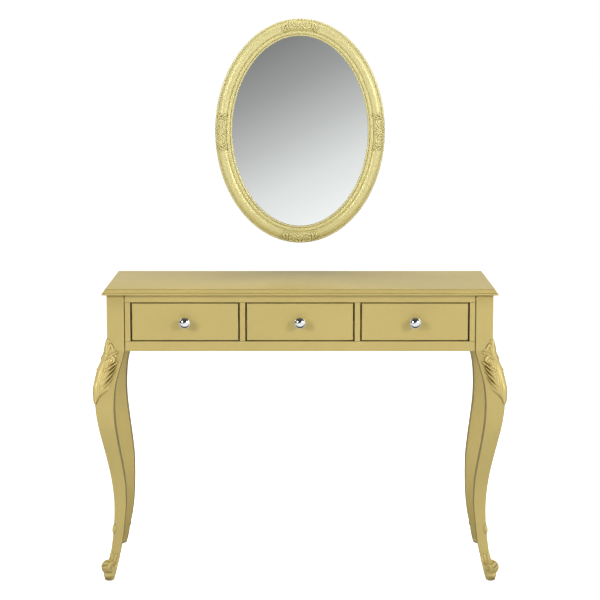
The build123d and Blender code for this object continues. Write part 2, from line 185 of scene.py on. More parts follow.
def oiled_wood(name, light, dark, axis):
    """Planed softwood: long grain lines along one axis and a slight tooth."""
    wood = Shader(name, roughness=0.55)
    stretch = [90.0, 90.0, 90.0]
    stretch[axis] = 3.0
    rings = wood.noise(1.0, 4.0, stretch, distortion=1.2)
    grain = wood.ramp(rings, [(0.35, dark), (0.5, light), (0.62, scaled(light, 0.86))])
    pores = wood.noise(14.0, 2.0, stretch)
    pore_colour = wood.ramp(pores, [(0.42, (0.72, 0.66, 0.6)), (0.5, (1, 1, 1))])
    wood.link(wood.mix(0.6, grain, pore_colour, "MULTIPLY"), wood.surface.inputs["Base Color"])
    wood.link(wood.span(rings, 0.48, 0.66), wood.surface.inputs["Roughness"])
    wood.bump(pores, 0.25, 0.0003)
    return wood.material


def polished_chrome():
    """Bright plating with the faintest haze and ripple."""
    chrome = Shader("polished_chrome", roughness=0.04, metallic=1.0)
    tint = chrome.ramp(chrome.noise(90.0), [(0.3, (0.80, 0.81, 0.83)), (0.7, (0.86, 0.87, 0.88))])
    chrome.link(tint, chrome.surface.inputs["Base Color"])
    chrome.link(chrome.span(chrome.noise(400.0, 3.0), 0.03, 0.07), chrome.surface.inputs["Roughness"])
    return chrome.material


def zinc_plate():
    """Thin zinc plating with a spangled tint and rolling marks."""
    zinc = Shader("zinc_plate", roughness=0.32, metallic=1.0)
    tint = zinc.ramp(zinc.noise(350.0, 3.0), [(0.3, (0.50, 0.51, 0.50)), (0.7, (0.68, 0.67, 0.62))])
    zinc.link(tint, zinc.surface.inputs["Base Color"])
    zinc.bump(zinc.noise(700.0, 2.0, (1, 1, 8)), 0.15, 0.0001)
    return zinc.material


def silvered_glass():
    """A silvered mirror with a faint cool tint."""
    mirror = Shader("silvered_glass", roughness=0.015, metallic=1.0)
    tint = mirror.ramp(mirror.noise(1.2), [(0.2, (0.86, 0.89, 0.88)), (0.8, (0.90, 0.92, 0.92))])
    mirror.link(tint, mirror.surface.inputs["Base Color"])
    return mirror.material


def hardboard():
    """Pressed brown fibreboard with short fibres."""
    panel = Shader("hardboard", roughness=0.8)
    fibres = panel.noise(900.0, 4.0, (1, 1, 0.35))
    tint = panel.ramp(fibres, [(0.3, (0.13, 0.075, 0.035)), (0.7, (0.27, 0.17, 0.085))])
    panel.link(tint, panel.surface.inputs["Base Color"])
    panel.bump(fibres, 0.3, 0.0003)
    return panel.material


def dark_nylon():
    """Brown moulded nylon, slightly mottled."""
    nylon = Shader("dark_nylon", roughness=0.5)
    tint = nylon.ramp(nylon.noise(300.0), [(0.3, (0.035, 0.028, 0.02)), (0.7, (0.06, 0.05, 0.035))])
    nylon.link(tint, nylon.surface.inputs["Base Color"])
    nylon.bump(nylon.noise(2000.0), 0.1, 0.0001)
    return nylon.material


TABLE_GOLD = (0.445, 0.352, 0.122)
MIRROR_GOLD = (0.59, 0.53, 0.245)
PINE = (0.44, 0.28, 0.13)
PINE_DARK = (0.28, 0.155, 0.06)
table_paint = satin_paint("table_paint", TABLE_GOLD)
top_paint = satin_paint("top_paint", TABLE_GOLD, gloss=(0.44, 0.54))
# The carved and ornament paints carry painted shade in cuts and a painted highlight on crests.
carved_paint = satin_paint("carved_paint", TABLE_GOLD, carved=1.0)
mirror_paint = satin_paint("mirror_paint", MIRROR_GOLD, tooth=0.03)
ornament_paint = satin_paint("ornament_paint", MIRROR_GOLD, carved=0.35, tooth=0.03)
wood_along_x = oiled_wood("wood_along_x", PINE, PINE_DARK, 0)
wood_along_y = oiled_wood("wood_along_y", PINE, PINE_DARK, 1)
# Rail and stile faces that look into the drawer openings get near-black painted shade.
opening_paint = {
    "top_rail": satin_paint("top_rail_paint", TABLE_GOLD, shaded_side=(0, 0, -1)),
    "bottom_rail": satin_paint("bottom_rail_paint", TABLE_GOLD, shaded_side=(0, 0, 1)),
    "stile_left": satin_paint("left_stile_paint", TABLE_GOLD, shaded_side=(1, 0, 0)),
    "stile_right": satin_paint("right_stile_paint", TABLE_GOLD, shaded_side=(-1, 0, 0)),
    "mullion_left": table_paint,
    "mullion_right": table_paint,
}
# The aprons' inner faces, seen through the drawer gaps, get near-black painted shade.
apron_paint = {
    "side_apron_left": satin_paint("left_apron_paint", TABLE_GOLD, shaded_side=(1, 0, 0)),
    "side_apron_right": satin_paint("right_apron_paint", TABLE_GOLD, shaded_side=(-1, 0, 0)),
    "back_apron": satin_paint("back_apron_paint", TABLE_GOLD, shaded_side=(0, -1, 0)),
}
chrome = polished_chrome()
zinc = zinc_plate()
nylon = dark_nylon()


def finish_for(node):
    """The material of a CAD node that stays as it is."""
    if node in apron_paint:
        return apron_paint[node]
    if node.endswith("_front"):
        return table_paint
    if node.startswith(("table_top", "top_rail", "bottom_rail", "stile", "mullion", "leg_")):
        return table_paint
    if node.endswith("_knob"):
        return chrome
    if node.startswith(("mirror_frame", "bead_ring", "ornament")):
        return mirror_paint
    if "screw" in node or node.startswith(("retaining", "hanger")):
        return zinc
    if node.startswith("foot_glides"):
        return nylon
    if node.endswith("_back") or node.endswith("_bottom") or node == "drawer_stops":
        return wood_along_x
    return wood_along_y


for node, obj in NODES.items():
    obj.data.materials.clear()
    obj.data.materials.append(finish_for(node))
for node, material in (("mirror_glass", silvered_glass()), ("backing_board", hardboard())):
    NODES[node].data.materials.clear()
    NODES[node].data.materials.append(material)


# ---- mesh helpers ---------------------------------------------------------------------------
def make_piece(name, points, faces, material, body, replaces=(), relief_shading=None):
    """A smooth-shaded mesh piece that rides on a body and may stand for CAD nodes."""
    mesh = bpy.data.meshes.new(name)
    mesh.from_pydata([tuple(point) for point in points], [], faces)
    mesh.polygons.foreach_set("use_smooth", [True] * len(mesh.polygons))
    # Per-point relief shading for carved paint: under 0.5 gives painted shade, over 0.5 a painted highlight.
    if relief_shading is not None:
        layer = mesh.attributes.new("relief_shading", "FLOAT", "POINT")
        layer.data.foreach_set("value", np.asarray(relief_shading, dtype=np.float32))
    shell = bmesh.new()
    shell.from_mesh(mesh)
    bmesh.ops.recalc_face_normals(shell, faces=shell.faces)
    shell.to_mesh(mesh)
    shell.free()
    mesh.materials.append(material)
    piece = bpy.data.objects.new(name, mesh)
    bpy.context.scene.collection.objects.link(piece)
    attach(piece, body)
    if replaces:
        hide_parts(*replaces)
    return piece


def grid_faces(rows, columns, closed_columns=False, closed_rows=False, start=0):
    """Quads over a grid of points stored row by row."""
    faces = []
    for row in range(rows if closed_rows else rows - 1):
        below = row * columns
        above = ((row + 1) % rows) * columns
        for column in range(columns if closed_columns else columns - 1):
            beside = (column + 1) % columns
            faces.append((start + below + column, start + below + beside,
                          start + above + beside, start + above + column))
    return faces


def sharpen(piece, angle):
    """Marks edges sharper than the angle so that smooth shading stops at them."""
    piece.data.set_sharp_from_angle(angle=math.radians(angle))


def eased(node, paint, radius, joint_x, joint_z):
    """Stands for a CAD board with the same board, its edges rounded and its joints left open.

    Ends that meet a leg are drawn back by joint_x, and ends that meet a rail by joint_z.
    """
    low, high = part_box(node)
    shape = bmesh.new()
    shape.from_mesh(NODES[node].data)
    bmesh.ops.remove_doubles(shape, verts=shape.verts, dist=1e-6)
    bmesh.ops.dissolve_limit(shape, angle_limit=math.radians(1), verts=shape.verts, edges=shape.edges)
    for vert in shape.verts:
        if abs(vert.co.x) > (CASE_HALF_WIDTH - LEG_BLOCK - 0.1) * MM:
            vert.co.x -= math.copysign(joint_x, vert.co.x)
        if vert.co.z > high[2] - 0.1 * MM:
            vert.co.z -= joint_z
        if vert.co.z < low[2] + 0.1 * MM:
            vert.co.z += joint_z
    corners = [edge for edge in shape.edges if edge.is_manifold and edge.calc_face_angle(0) > 0.6]
    bmesh.ops.bevel(shape, geom=corners, offset=radius, segments=2, profile=0.5, affect="EDGES",
                    clamp_overlap=True)
    mesh = bpy.data.meshes.new(f"{node}_eased")
    shape.to_mesh(mesh)
    shape.free()
    mesh.materials.append(paint)
    piece = bpy.data.objects.new(f"{node}_eased", mesh)
    bpy.context.scene.collection.objects.link(piece)
    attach(piece, "table")
    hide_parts(node)


for node, paint in opening_paint.items():
    upright = not node.endswith("rail")
    eased(node, paint, 0.8 * MM, 1.4 * MM, 0.4 * MM if upright else 0.0)

# The top's moulding, in mm: distance in from the edge, and drop below the upper face.
TOP_MOULDING = [(9.6, 0.0), (9.0, 0.2), (8.7, 0.6), (8.6, 1.5), (10.4, 1.8), (10.4, 2.9),
                (7.8, 3.0), (7.3, 3.2), (6.4, 4.2), (5.4, 5.9), (4.6, 7.8), (4.1, 9.6),
                (4.0, 10.4), (5.6, 10.6), (5.6, 11.6), (2.2, 11.6), (1.0, 11.8), (0.3, 12.6),
                (0.0, 13.8), (0.3, 15.0), (1.1, 15.9), (2.2, 16.0)]


def table_top():
    """The board with its stepped moulding, mitred round the four edges."""
    low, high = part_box("table_top")
    corner_steps = 6
    corner_radius = 1.6
    points = []
    for inset, drop in TOP_MOULDING:
        radius = max(0.4, corner_radius - 0.15 * inset)
        for number, (x_side, y_side) in enumerate(((1, 1), (-1, 1), (-1, -1), (1, -1))):
            x = x_side * (high[0] - (inset + radius) * MM)
            y = y_side * (high[1] - (inset + radius) * MM)
            for step in range(corner_steps):
                turn = math.pi / 2 * (number + step / (corner_steps - 1))
                points.append((x + radius * MM * math.cos(turn), y + radius * MM * math.sin(turn),
                               high[2] - drop * MM))
    count = 4 * corner_steps
    faces = grid_faces(len(TOP_MOULDING), count, closed_columns=True)
    faces.append(tuple(range(count)))
    faces.append(tuple(range((len(TOP_MOULDING) - 1) * count, len(TOP_MOULDING) * count)))
    piece = make_piece("moulded_top", points, faces, top_paint, "table",
                       replaces=("table_top",))
    sharpen(piece, 30)


table_top()

# ---- carved relief: strokes laid over a surface and joined like overlapping leaves ------------
class Stroke:
    """One carved lobe: a curved spine from root to tip, wide at first and tapered to its tip.

    lean raises one side of the lobe, so that the other side tucks under its neighbour.
    """

    def __init__(self, root, bend, tip, half_width, height, lean=0.0, vein=0.22, taper=0.75):
        t = np.linspace(0, 1, 28)[:, None]
        root, bend, tip = (np.array(point, dtype=float) for point in (root, bend, tip))
        self.spine = (1 - t) ** 2 * root + 2 * t * (1 - t) * bend + t ** 2 * tip
        self.t = t[:, 0]
        self.tangent = np.gradient(self.spine, axis=0)
        self.tangent /= np.linalg.norm(self.tangent, axis=1)[:, None]
        self.half_width = half_width
        self.height = height
        self.lean = lean
        self.vein = vein
        self.taper = taper

    def relief(self, where):
        """The lobe's height over each of the points given."""
        away = where[:, None, :] - self.spine[None, :, :]
        nearest = np.argmin((away ** 2).sum(axis=2), axis=1)
        rows = np.arange(len(where))
        offset = away[rows, nearest]
        tangent = self.tangent[nearest]
        t = self.t[nearest]
        side = tangent[:, 0] * offset[:, 1] - tangent[:, 1] * offset[:, 0]
        distance = np.linalg.norm(offset, axis=1)
        width = self.half_width * (0.55 + 0.9 * t) * np.sqrt(np.clip(1 - self.taper * t ** 2, 0.02, 1))
        across = np.clip(distance / width, 0, 1.6)
        signed = np.clip(np.sign(side) * across, -1, 1)
        dome = np.sqrt(np.clip(1 - across ** 2, 0, 1))
        crest = self.height * (1 + self.lean * signed) * (0.78 + 0.22 * np.sin(math.pi * t))
        groove = self.vein * self.height * np.exp(-(across / 0.2) ** 2) * (1 - 0.6 * t)
        return np.where(across < 1, dome * crest - groove, -1.0)


class Ring:
    """A carved ring round a button, as in the eye of a volute."""

    def __init__(self, centre, radius, thickness, height, button):
        self.centre = np.array(centre, dtype=float)
        self.radius = radius
        self.thickness = thickness
        self.height = height
        self.button = button

    def relief(self, where):
        distance = np.linalg.norm(where - self.centre, axis=1)
        rim = np.clip(1 - ((distance - self.radius) / self.thickness) ** 2, 0, 1)
        eye = np.clip(1 - (distance / self.button) ** 2, 0, 1)
        return np.maximum(self.height * np.sqrt(rim), 1.05 * self.height * np.sqrt(eye)) - 0.01


def carve(where, marks, floor):
    """The highest mark at each point over a floor height, with softened joints."""
    layers = np.array([mark.relief(where) for mark in marks] + [floor])
    sharpness = 3.5
    peak = layers.max(axis=0)
    return peak + np.log(np.exp(sharpness * (layers - peak)).sum(axis=0)) / sharpness - 0.12


def cavity_of(height, rows, columns):
    """How far each grid point lies below (under 0.5) or above (over 0.5) its surroundings."""
    grid = height.reshape(rows, columns)
    blurred = grid.copy()
    for _ in range(10):
        padded = np.pad(blurred, 1, mode="edge")
        blurred = (padded[:-2, 1:-1] + padded[2:, 1:-1] + padded[1:-1, :-2] + padded[1:-1, 2:]
                   + padded[1:-1, 1:-1]) / 5
    return np.clip(0.5 + 0.45 * (grid - blurred), 0, 1).ravel()


# ---- legs -----------------------------------------------------------------------------------
# Height, shift along the leg's diagonal per axis, and width of the square section, in mm.
LEG_STATIONS = np.array([
    (CASE_TOP, 0.0, LEG_BLOCK), (CASE_BOTTOM, 0.0, LEG_BLOCK), (560.0, 11.0, 45.0), (515.0, 23.5, 47.0),
    (465.0, 28.0, 47.0), (415.0, 24.5, 43.5), (360.0, 15.5, 39.0), (310.0, 6.3, 36.0),
    (255.0, -2.0, 34.0), (195.0, -5.0, 30.5), (140.0, -1.75, 27.5), (90.0, 4.0, 26.0),
    (45.0, 12.8, 23.5), (3.0, 23.2, 21.5)])[::-1]
REAR_LEG_STATIONS = np.array([
    (CASE_TOP, 0.0, LEG_BLOCK), (CASE_BOTTOM, 0.0, LEG_BLOCK), (560.0, 13.0, 45.0), (515.0, 26.0, 47.0),
    (465.0, 30.8, 47.0), (415.0, 28.8, 44.5), (360.0, 21.6, 43.0), (310.0, 14.0, 42.0),
    (255.0, 5.2, 38.0), (195.0, 0.5, 31.5), (140.0, 0.6, 28.0), (90.0, 5.8, 26.0),
    (45.0, 14.6, 24.0), (3.0, 23.2, 21.5)])[::-1]
EDGE_RADIUS = 1.8
KNEE_TOP = 652.0
KNEE_FOOT = 466.0
FOOT_TOP = 150.0
PAD_BOTTOM = 3.0
CARVED_DEPTH = 46.0

# The knee's leaf, by height: how far its body stands off the corner, and how far in it reaches.
LEAF_BULGE = np.array([(466, 0.0), (470, 3.2), (474, 4.4), (500, 7.8), (526, 9.2), (552, 11.2), (578, 9.2),
                       (600, 6.6), (612, 4.2), (622, 2.4), (630, 1.0), (636, 0.0)])
LEAF_REACH = np.array([(466, 0.0), (474, 3.0), (482, 7.0), (490, 13.0), (498, 22.0), (505, 29.0), (526, 29.0),
                       (552, 30.0), (575, 26.0), (590, 23.5), (602, 20.0), (610, 15.0), (620, 9.0),
                       (628, 5.0), (636, 1.0)])
LOBE_PITCH = 14.5
LOBE_SLOPE = 0.85
LOBE_FOOT = 493.0

# Marks over the body, in mm: distance in from the leg's outer corner, and height.
KNEE_MARKS = [
    Stroke((-1, 598), (-1, 618), (1, 628), 3.6, 2.6, vein=0.1),
    Stroke((2, 594), (4, 632), (13, 604), 3.2, 3.4, lean=0.3, vein=0.1),
    Stroke((2, 582), (10, 594), (24, 597), 4.4, 4.0, lean=-0.6, vein=0.1),
    Stroke((14, 568), (31, 576), (13, 587), 3.2, 4.0, lean=-0.3, vein=0.0, taper=0.3),
    Stroke((7, 554), (17, 559), (30, 571), 5.0, 4.2, lean=-0.6, vein=0.1),
]
FOOT_MARKS = [
    Stroke((0, 124), (0, 131), (0, 139), 5.5, 3.4, vein=0.0),
    Stroke((4, 44), (5, 54), (2, 68), 3.8, 2.0, vein=0.1),
    Stroke((11, 44), (11.5, 54), (13, 64), 3.8, 2.2, vein=0.1),
    Stroke((18, 42), (18, 50), (21, 58), 3.2, 1.8, vein=0.1),
]


def smooth_step(value):
    share = np.clip(value, 0, 1)
    return share * share * (3 - 2 * share)


def knee_leaf(where):
    """The leaf's height over each (distance in, height): a bulging body cut into lobes.

    The lobes overlap like shingles towards the inner side, each lip tucked over the next,
    and run out into long shallow ribs along the outer corner.
    """
    inwards, height = where.T
    bulge = np.interp(height, *LEAF_BULGE.T)
    reach = np.interp(height, *LEAF_REACH.T)
    drift = LOBE_SLOPE * inwards + 0.024 * (inwards - 14) ** 2 - 2.2 * np.sin(height / 13.0)
    phase = (height - drift - LOBE_FOOT) / LOBE_PITCH
    saw = phase % 1
    lobed = smooth_step((phase + 0.05) / 0.1) * smooth_step((574 - height) / 8)
    reach = reach * (1 + 0.15 * lobed * np.cos(2 * math.pi * (saw - 0.3)))
    across = np.clip(inwards / np.maximum(reach, 0.1), 0, 2)
    body = 1.0 + (bulge - 1.0) * (1 - np.minimum(across, 1) ** 1.7)
    edge = np.sqrt(np.clip((1.04 - across) * 9, 0, 1)) * np.clip(bulge / 1.5, 0, 1)
    lip = (1 - saw) ** 1.4 * smooth_step(saw / 0.22)
    lobes = lobed * smooth_step((inwards - 13) / 9) * (5.0 * lip - 1.8)
    ribs = 0.75 * np.cos(2 * math.pi * (inwards + 0.10 * (height - 560)) / 5.2)
    ribs *= smooth_step((15 - inwards) / 6) * smooth_step((height - 484) / 20)
    ribs *= smooth_step((590 - height) / 12)
    return np.clip(edge * (body + lobes + ribs), 0, None)


def hermite(heights, values, at):
    """A smooth curve through (height, value) stations, read at the heights given."""
    slopes = np.gradient(values, heights)
    index = np.clip(np.searchsorted(heights, at) - 1, 0, len(heights) - 2)
    span = heights[index + 1] - heights[index]
    t = (at - heights[index]) / span
    return ((2 * t ** 3 - 3 * t ** 2 + 1) * values[index] + (t ** 3 - 2 * t ** 2 + t) * span * slopes[index]
            + (3 * t ** 2 - 2 * t ** 3) * values[index + 1] + (t ** 3 - t ** 2) * span * slopes[index + 1])


def section_outline(carved):
    """Points round a rounded square as (corner-square position, outward normal) pairs.

    The outline starts and ends beside the outer corner, which lies towards (+1, +1).
    """
    face_steps = 64 if carved else 22
    corner_steps = 17 if carved else 7
    positions = []
    normals = []
    corners = ((1, 1), (-1, 1), (-1, -1), (1, -1))
    for number, corner in enumerate(corners):
        following = corners[(number + 1) % 4]
        carved_face = number in (0, 3)
        for step in range(corner_steps):
            turn = math.radians(90 * (number + step / (corner_steps - 1)))
            positions.append(corner)
            normals.append((math.cos(turn), math.sin(turn)))
        steps = face_steps if carved_face else 6
        for step in range(1, steps):
            share = step / steps
            positions.append(tuple(a + (b - a) * share for a, b in zip(corner, following)))
            turn = math.radians(90 * (number + 1))
            normals.append((math.cos(turn), math.sin(turn)))
    return np.array(positions, dtype=float), np.array(normals)


def leg(name, carved):
    """A whole leg: apron block, swept square shaft and, in front, the carved knee."""
    x_side = -1 if name.endswith("left") else 1
    y_side = -1 if "front" in name else 1
    stations = LEG_STATIONS if carved else REAR_LEG_STATIONS
    middle = (x_side * (CASE_HALF_WIDTH - LEG_BLOCK / 2), y_side * (CASE_HALF_DEPTH - LEG_BLOCK / 2))
    heights = stations[:, 0]
    shaft_top = KNEE_FOOT if carved else CASE_BOTTOM
    knee = np.linspace(KNEE_FOOT, KNEE_TOP, 250, endpoint=False) if carved else []
    levels = np.concatenate([np.linspace(PAD_BOTTOM, FOOT_TOP, 110, endpoint=False),
                             np.linspace(FOOT_TOP, shaft_top, 60, endpoint=False), knee,
                             np.array([KNEE_TOP, 700, 742.8, CASE_TOP])])
    positions, normals = section_outline(carved)
    count = len(positions)
    shift = np.where(levels > CASE_BOTTOM, 0.0, hermite(heights, stations[:, 1], levels))
    width = np.where(levels > CASE_BOTTOM, LEG_BLOCK, hermite(heights, stations[:, 2], levels))
    width = width + 2.2 * smooth_step((12 - levels) / 5)
    outer = positions.max(axis=1) > 0.999
    inset_by_row = []
    for size in width:
        half = size / 2 - EDGE_RADIUS
        inset_by_row.append(np.where(outer, half - positions.min(axis=1) * half, 99.0))
    where = np.column_stack([np.concatenate(inset_by_row), np.repeat(levels, count)])
    marked = where[:, 0] < CARVED_DEPTH
    lift = np.zeros(len(where))
    low = marked & (where[:, 1] < FOOT_TOP)
    sole = smooth_step((where[low, 1] - 5) / 10) * smooth_step((44 - where[low, 1]) / 8)
    sole *= 6.5 * (1 - np.minimum(where[low, 0] / 22, 1) ** 2)
    lift[low] = sole + np.clip(carve(where[low], FOOT_MARKS, np.zeros(low.sum())), 0, None)
    if carved:
        high = marked & (where[:, 1] > KNEE_FOOT) & (where[:, 1] < KNEE_TOP)
        above = np.clip(carve(where[high], KNEE_MARKS, np.zeros(high.sum())), 0, None)
        lift[high] = knee_leaf(where[high]) + above
    # Relief shading: cuts get painted shade, and the raised leaf a painted highlight that grows with its
    # lift.
    relief_shading = np.clip(cavity_of(lift, len(levels), count) + 0.026 * np.minimum(lift, 10), 0, 1)
    lift = lift.reshape(len(levels), count)
    points = []
    for row, (level, move, size) in enumerate(zip(levels, shift, width)):
        half = size / 2 - EDGE_RADIUS
        inset = 0.8 if level == CASE_TOP else 0.0
        ring = positions * half + normals * (EDGE_RADIUS + lift[row] - inset)[:, None]
        ring = (ring + move) * (x_side, y_side) + middle
        points.append(np.column_stack([ring, np.full(count, level)]))
    points = np.concatenate(points) * MM
    faces = grid_faces(len(levels), count, closed_columns=True)
    faces.append(tuple(range(count)))
    faces.append(tuple(range((len(levels) - 1) * count, len(levels) * count)))
    piece = make_piece(f"{name}_carved", points, faces, carved_paint, "table",
                       replaces=(name,), relief_shading=relief_shading)
    sharpen(piece, 40)


for name in ("leg_front_left", "leg_front_right"):
    leg(name, carved=True)
for name in ("leg_rear_left", "leg_rear_right"):
    leg(name, carved=False)

# ---- toe scrolls ----------------------------------------------------------------------------
TOE_RADIUS = 18.0
TOE_HALF_WIDTH = 14.0
TOE_SHIFT = 25.5
TOE_HEIGHT = 35.0


def toe_scroll(leg_name):
    """A rolled leaf toe: a plump drum ribbed over its rim, with a scroll cut into each cheek."""
    x_side = -1 if leg_name.endswith("left") else 1
    y_side = -1 if "front" in leg_name else 1
    centre = np.array([x_side * (CASE_HALF_WIDTH - LEG_BLOCK / 2 + TOE_SHIFT),
                       y_side * (CASE_HALF_DEPTH - LEG_BLOCK / 2 + TOE_SHIFT), TOE_HEIGHT])
    outward = np.array([x_side, y_side, 0]) / math.sqrt(2)
    axle = np.array([-y_side, x_side, 0]) / math.sqrt(2)
    up = np.array([0, 0, 1.0])
    turns = 112
    latitudes = np.linspace(-math.pi / 2 + 0.02, math.pi / 2 - 0.02, 75)
    points = []
    relief = []
    for latitude in latitudes:
        radial = math.cos(latitude) ** 0.62
        side = math.copysign(abs(math.sin(latitude)) ** 0.75, latitude)
        rim_share = float(smooth_step((radial - 0.72) / 0.2))
        for turn in range(turns):
            angle = 2 * math.pi * turn / turns
            direction = math.cos(angle) * outward + math.sin(angle) * up
            rib = 0.9 * math.cos(5.0 * math.pi * side) * rim_share
            scroll = math.cos(2 * math.pi * 1.9 * radial - math.copysign(angle, side))
            cheek = 1.2 * scroll * (1 - rim_share) * min(1.0, 3.5 * radial)
            fold = sum(math.exp(-((angle - at - 0.35 * side) / 0.15) ** 2) for at in (0.35, 1.15))
            fold = fold * 1.4 * rim_share
            reach = TOE_RADIUS * radial + rib - fold
            sideways = TOE_HALF_WIDTH * side + math.copysign(cheek, side)
            points.append(centre + direction * reach + axle * sideways)
            relief.append(rib + cheek - 1.4 * fold)
    faces = grid_faces(len(latitudes), turns, closed_columns=True)
    faces.append(tuple(range(turns)))
    faces.append(tuple(range((len(latitudes) - 1) * turns, len(latitudes) * turns)))
    # Relief shading: the whole toe gets a painted highlight, strongest on its ribs, with painted shade in its
    # folds.
    relief_shading = np.clip(0.70 + 0.22 * np.array(relief), 0, 1)
    make_piece(f"toe_{leg_name[4:]}", np.array(points) * MM, faces, carved_paint, "table",
               relief_shading=relief_shading)


for name in ("leg_front_left", "leg_front_right", "leg_rear_left", "leg_rear_right"):
    toe_scroll(name)

# ---- knobs ----------------------------------------------------------------------------------
KNOB_REACH = 30.0


def knob(drawer):
    """A turned knob: foot ring, waisted neck and a domed head, on the drawer front."""
    low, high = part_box(f"{drawer}_knob")
    centre_x = (low[0] + high[0]) / 2
    centre_z = (low[2] + high[2]) / 2
    profile = [(0.0, 0.0), (8.0, 0.0), (8.3, 0.5), (8.3, 1.0), (7.9, 1.5), (6.6, 2.0), (5.6, 3.0),
               (5.2, 5.0), (5.3, 9.0), (6.2, 12.5), (8.2, 15.5), (10.8, 17.8), (12.8, 19.6),
               (13.8, 21.4), (14.0, 22.8), (13.8, 24.0), (13.3, 24.9)]
    dome_radius = 18.2
    rim_angle = math.asin(12.9 / dome_radius)
    for step in range(25):
        angle = rim_angle * (1 - step / 24)
        profile.append((max(0.02, dome_radius * math.sin(angle)),
                        KNOB_REACH - dome_radius * (1 - math.cos(angle))))
    turns = 72
    points = []
    for radius, reach in profile:
        for turn in range(turns):
            angle = 2 * math.pi * turn / turns
            points.append((centre_x + radius * MM * math.cos(angle), high[1] - reach * MM,
                           centre_z + radius * MM * math.sin(angle)))
    faces = grid_faces(len(profile), turns, closed_columns=True)
    faces.append(tuple(range((len(profile) - 1) * turns, len(profile) * turns)))
    make_piece(f"{drawer}_turned_knob", points, faces, chrome, drawer,
               replaces=(f"{drawer}_knob",))


for drawer in DRAWERS:
    knob(drawer)

# ---- mirror ---------------------------------------------------------------------------------
HALF_WIDTH = 230.5
HALF_HEIGHT = 303.5
MIRROR_Z = 1138.5
WALL_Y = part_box("mirror_frame")[1][1] / MM
BEAD_SEAT = 15.0


def rim_point(turn, inset, rise):
    """A point at a distance in from the oval's outer edge and a height above the wall, in mm."""
    outward = np.array([math.cos(turn) / HALF_WIDTH, math.sin(turn) / HALF_HEIGHT])
    outward /= np.linalg.norm(outward)
    x = HALF_WIDTH * math.cos(turn) - inset * outward[0]
    z = HALF_HEIGHT * math.sin(turn) - inset * outward[1]
    return np.array([x, WALL_Y - rise, MIRROR_Z + z])


def rim_turns(count, start=0.0):
    """Oval angles that stand equal distances apart along the outer edge."""
    fine = np.linspace(0, 2 * math.pi, 4001)
    edge = np.column_stack([HALF_WIDTH * np.cos(fine), HALF_HEIGHT * np.sin(fine)])
    length = np.concatenate([[0], np.cumsum(np.linalg.norm(np.diff(edge, axis=0), axis=1))])
    wanted = (start + np.arange(count) / count) % 1 * length[-1]
    return np.interp(wanted, length, fine)


def frame_profile():
    """The frame's section as (distance in, height above the wall): rim, quirk, band, seat, lip."""
    rim = [(40, 9.5), (40, 1.0), (39, 0.2), (1.2, 0.2), (0, 1.4), (0, 10.4), (0.5, 11.6), (1.6, 12.6),
           (3.2, 13.0), (4.2, 12.8), (4.6, 11.9), (6.2, 12.1), (6.6, 13.6), (7.0, 14.6)]
    band = [(7.5 + 22 * t, 15 + 7 * math.sin(math.pi * (0.06 + 0.78 * t)) ** 0.8)
            for t in np.linspace(0, 1, 15)]
    seat = [(29.9, 18.2), (30.3, 17.0), (31.4, 16.2), (32.4, BEAD_SEAT), (40.8, BEAD_SEAT)]
    lip = [(41.6, 15.6), (42.0, 17.0), (42.8, 17.3), (44.6, 17.1), (45.5, 16.4), (46.0, 15.0),
           (46.0, 9.6)]
    return rim + band + seat + lip


def mirror_frame():
    """The moulded section swept round the oval."""
    profile = frame_profile()
    turns = rim_turns(360)
    points = [rim_point(turn, inset, rise) for turn in turns for inset, rise in profile]
    faces = grid_faces(len(turns), len(profile), closed_columns=True, closed_rows=True)
    piece = make_piece("moulded_frame", np.array(points) * MM, faces, mirror_paint, "mirror",
                       replaces=("mirror_frame",))
    sharpen(piece, 35)


def bead_ring(count=292):
    """A half-round moulding round the glass, turned into pearls by a cut between each pair."""
    per_bead, columns = 8, 12
    rows = count * per_bead
    turns = rim_turns(rows)
    points = []
    relief = []
    for row, turn in enumerate(turns):
        pearl = abs(math.sin(math.pi * row / per_bead)) ** 0.6
        for column in range(columns):
            angle = math.pi * column / (columns - 1)
            swell = 0.91 + 0.09 * pearl
            inset = 35.7 - 5.2 * swell * math.cos(angle)
            points.append(rim_point(turn, inset, BEAD_SEAT + 4.4 * swell * math.sin(angle) - 0.2))
            # Relief shading: painted shade in the cuts between pearls, a faint painted highlight on each
            # pearl.
            relief.append(0.44 + 0.16 * pearl)
    faces = grid_faces(rows, columns, closed_columns=True, closed_rows=True)
    make_piece("pearl_beading", np.array(points) * MM, faces, ornament_paint, "mirror",
               replaces=("bead_ring",), relief_shading=relief)


# One half of an ornament, in mm: distance along from its middle, and in from the outer rim.
ORNAMENT_HALF = [
    Ring((0, 15), 5.6, 3.0, 3.6, 3.0),
    Stroke((0, 9), (0, 4), (0, 0), 4.0, 3.6, vein=0.2),
    Stroke((4, 8), (9, 4), (11, 1), 3.4, 2.8, vein=0.0),
    Stroke((2, 22), (4, 26), (5, 30), 3.6, 2.8, vein=0.0),
    Stroke((7, 16), (13, 28), (21, 24), 3.8, 3.2, lean=0.3, vein=0.0),
    Ring((16, 11), 5.4, 2.8, 3.2, 2.4),
    Stroke((20, 18), (26, 27), (32, 20), 3.6, 3.4, vein=0.0),
    Stroke((21, 6), (28, 0), (32, 12), 3.8, 3.2, vein=0.0),
    Stroke((34, 5), (43, 14), (36, 26), 3.2, 7.0, vein=0.0),
    Stroke((40, 8), (49, 12), (53, 23), 4.4, 7.4, lean=0.2, vein=0.0),
    Stroke((39, 16), (45, 19), (50, 29), 3.6, 6.4, lean=0.2, vein=0.0),
]
ORNAMENT_HALF_LENGTH = 54.0
ORNAMENT_DEPTH = 31.0
ORNAMENT_BASE = 11.0


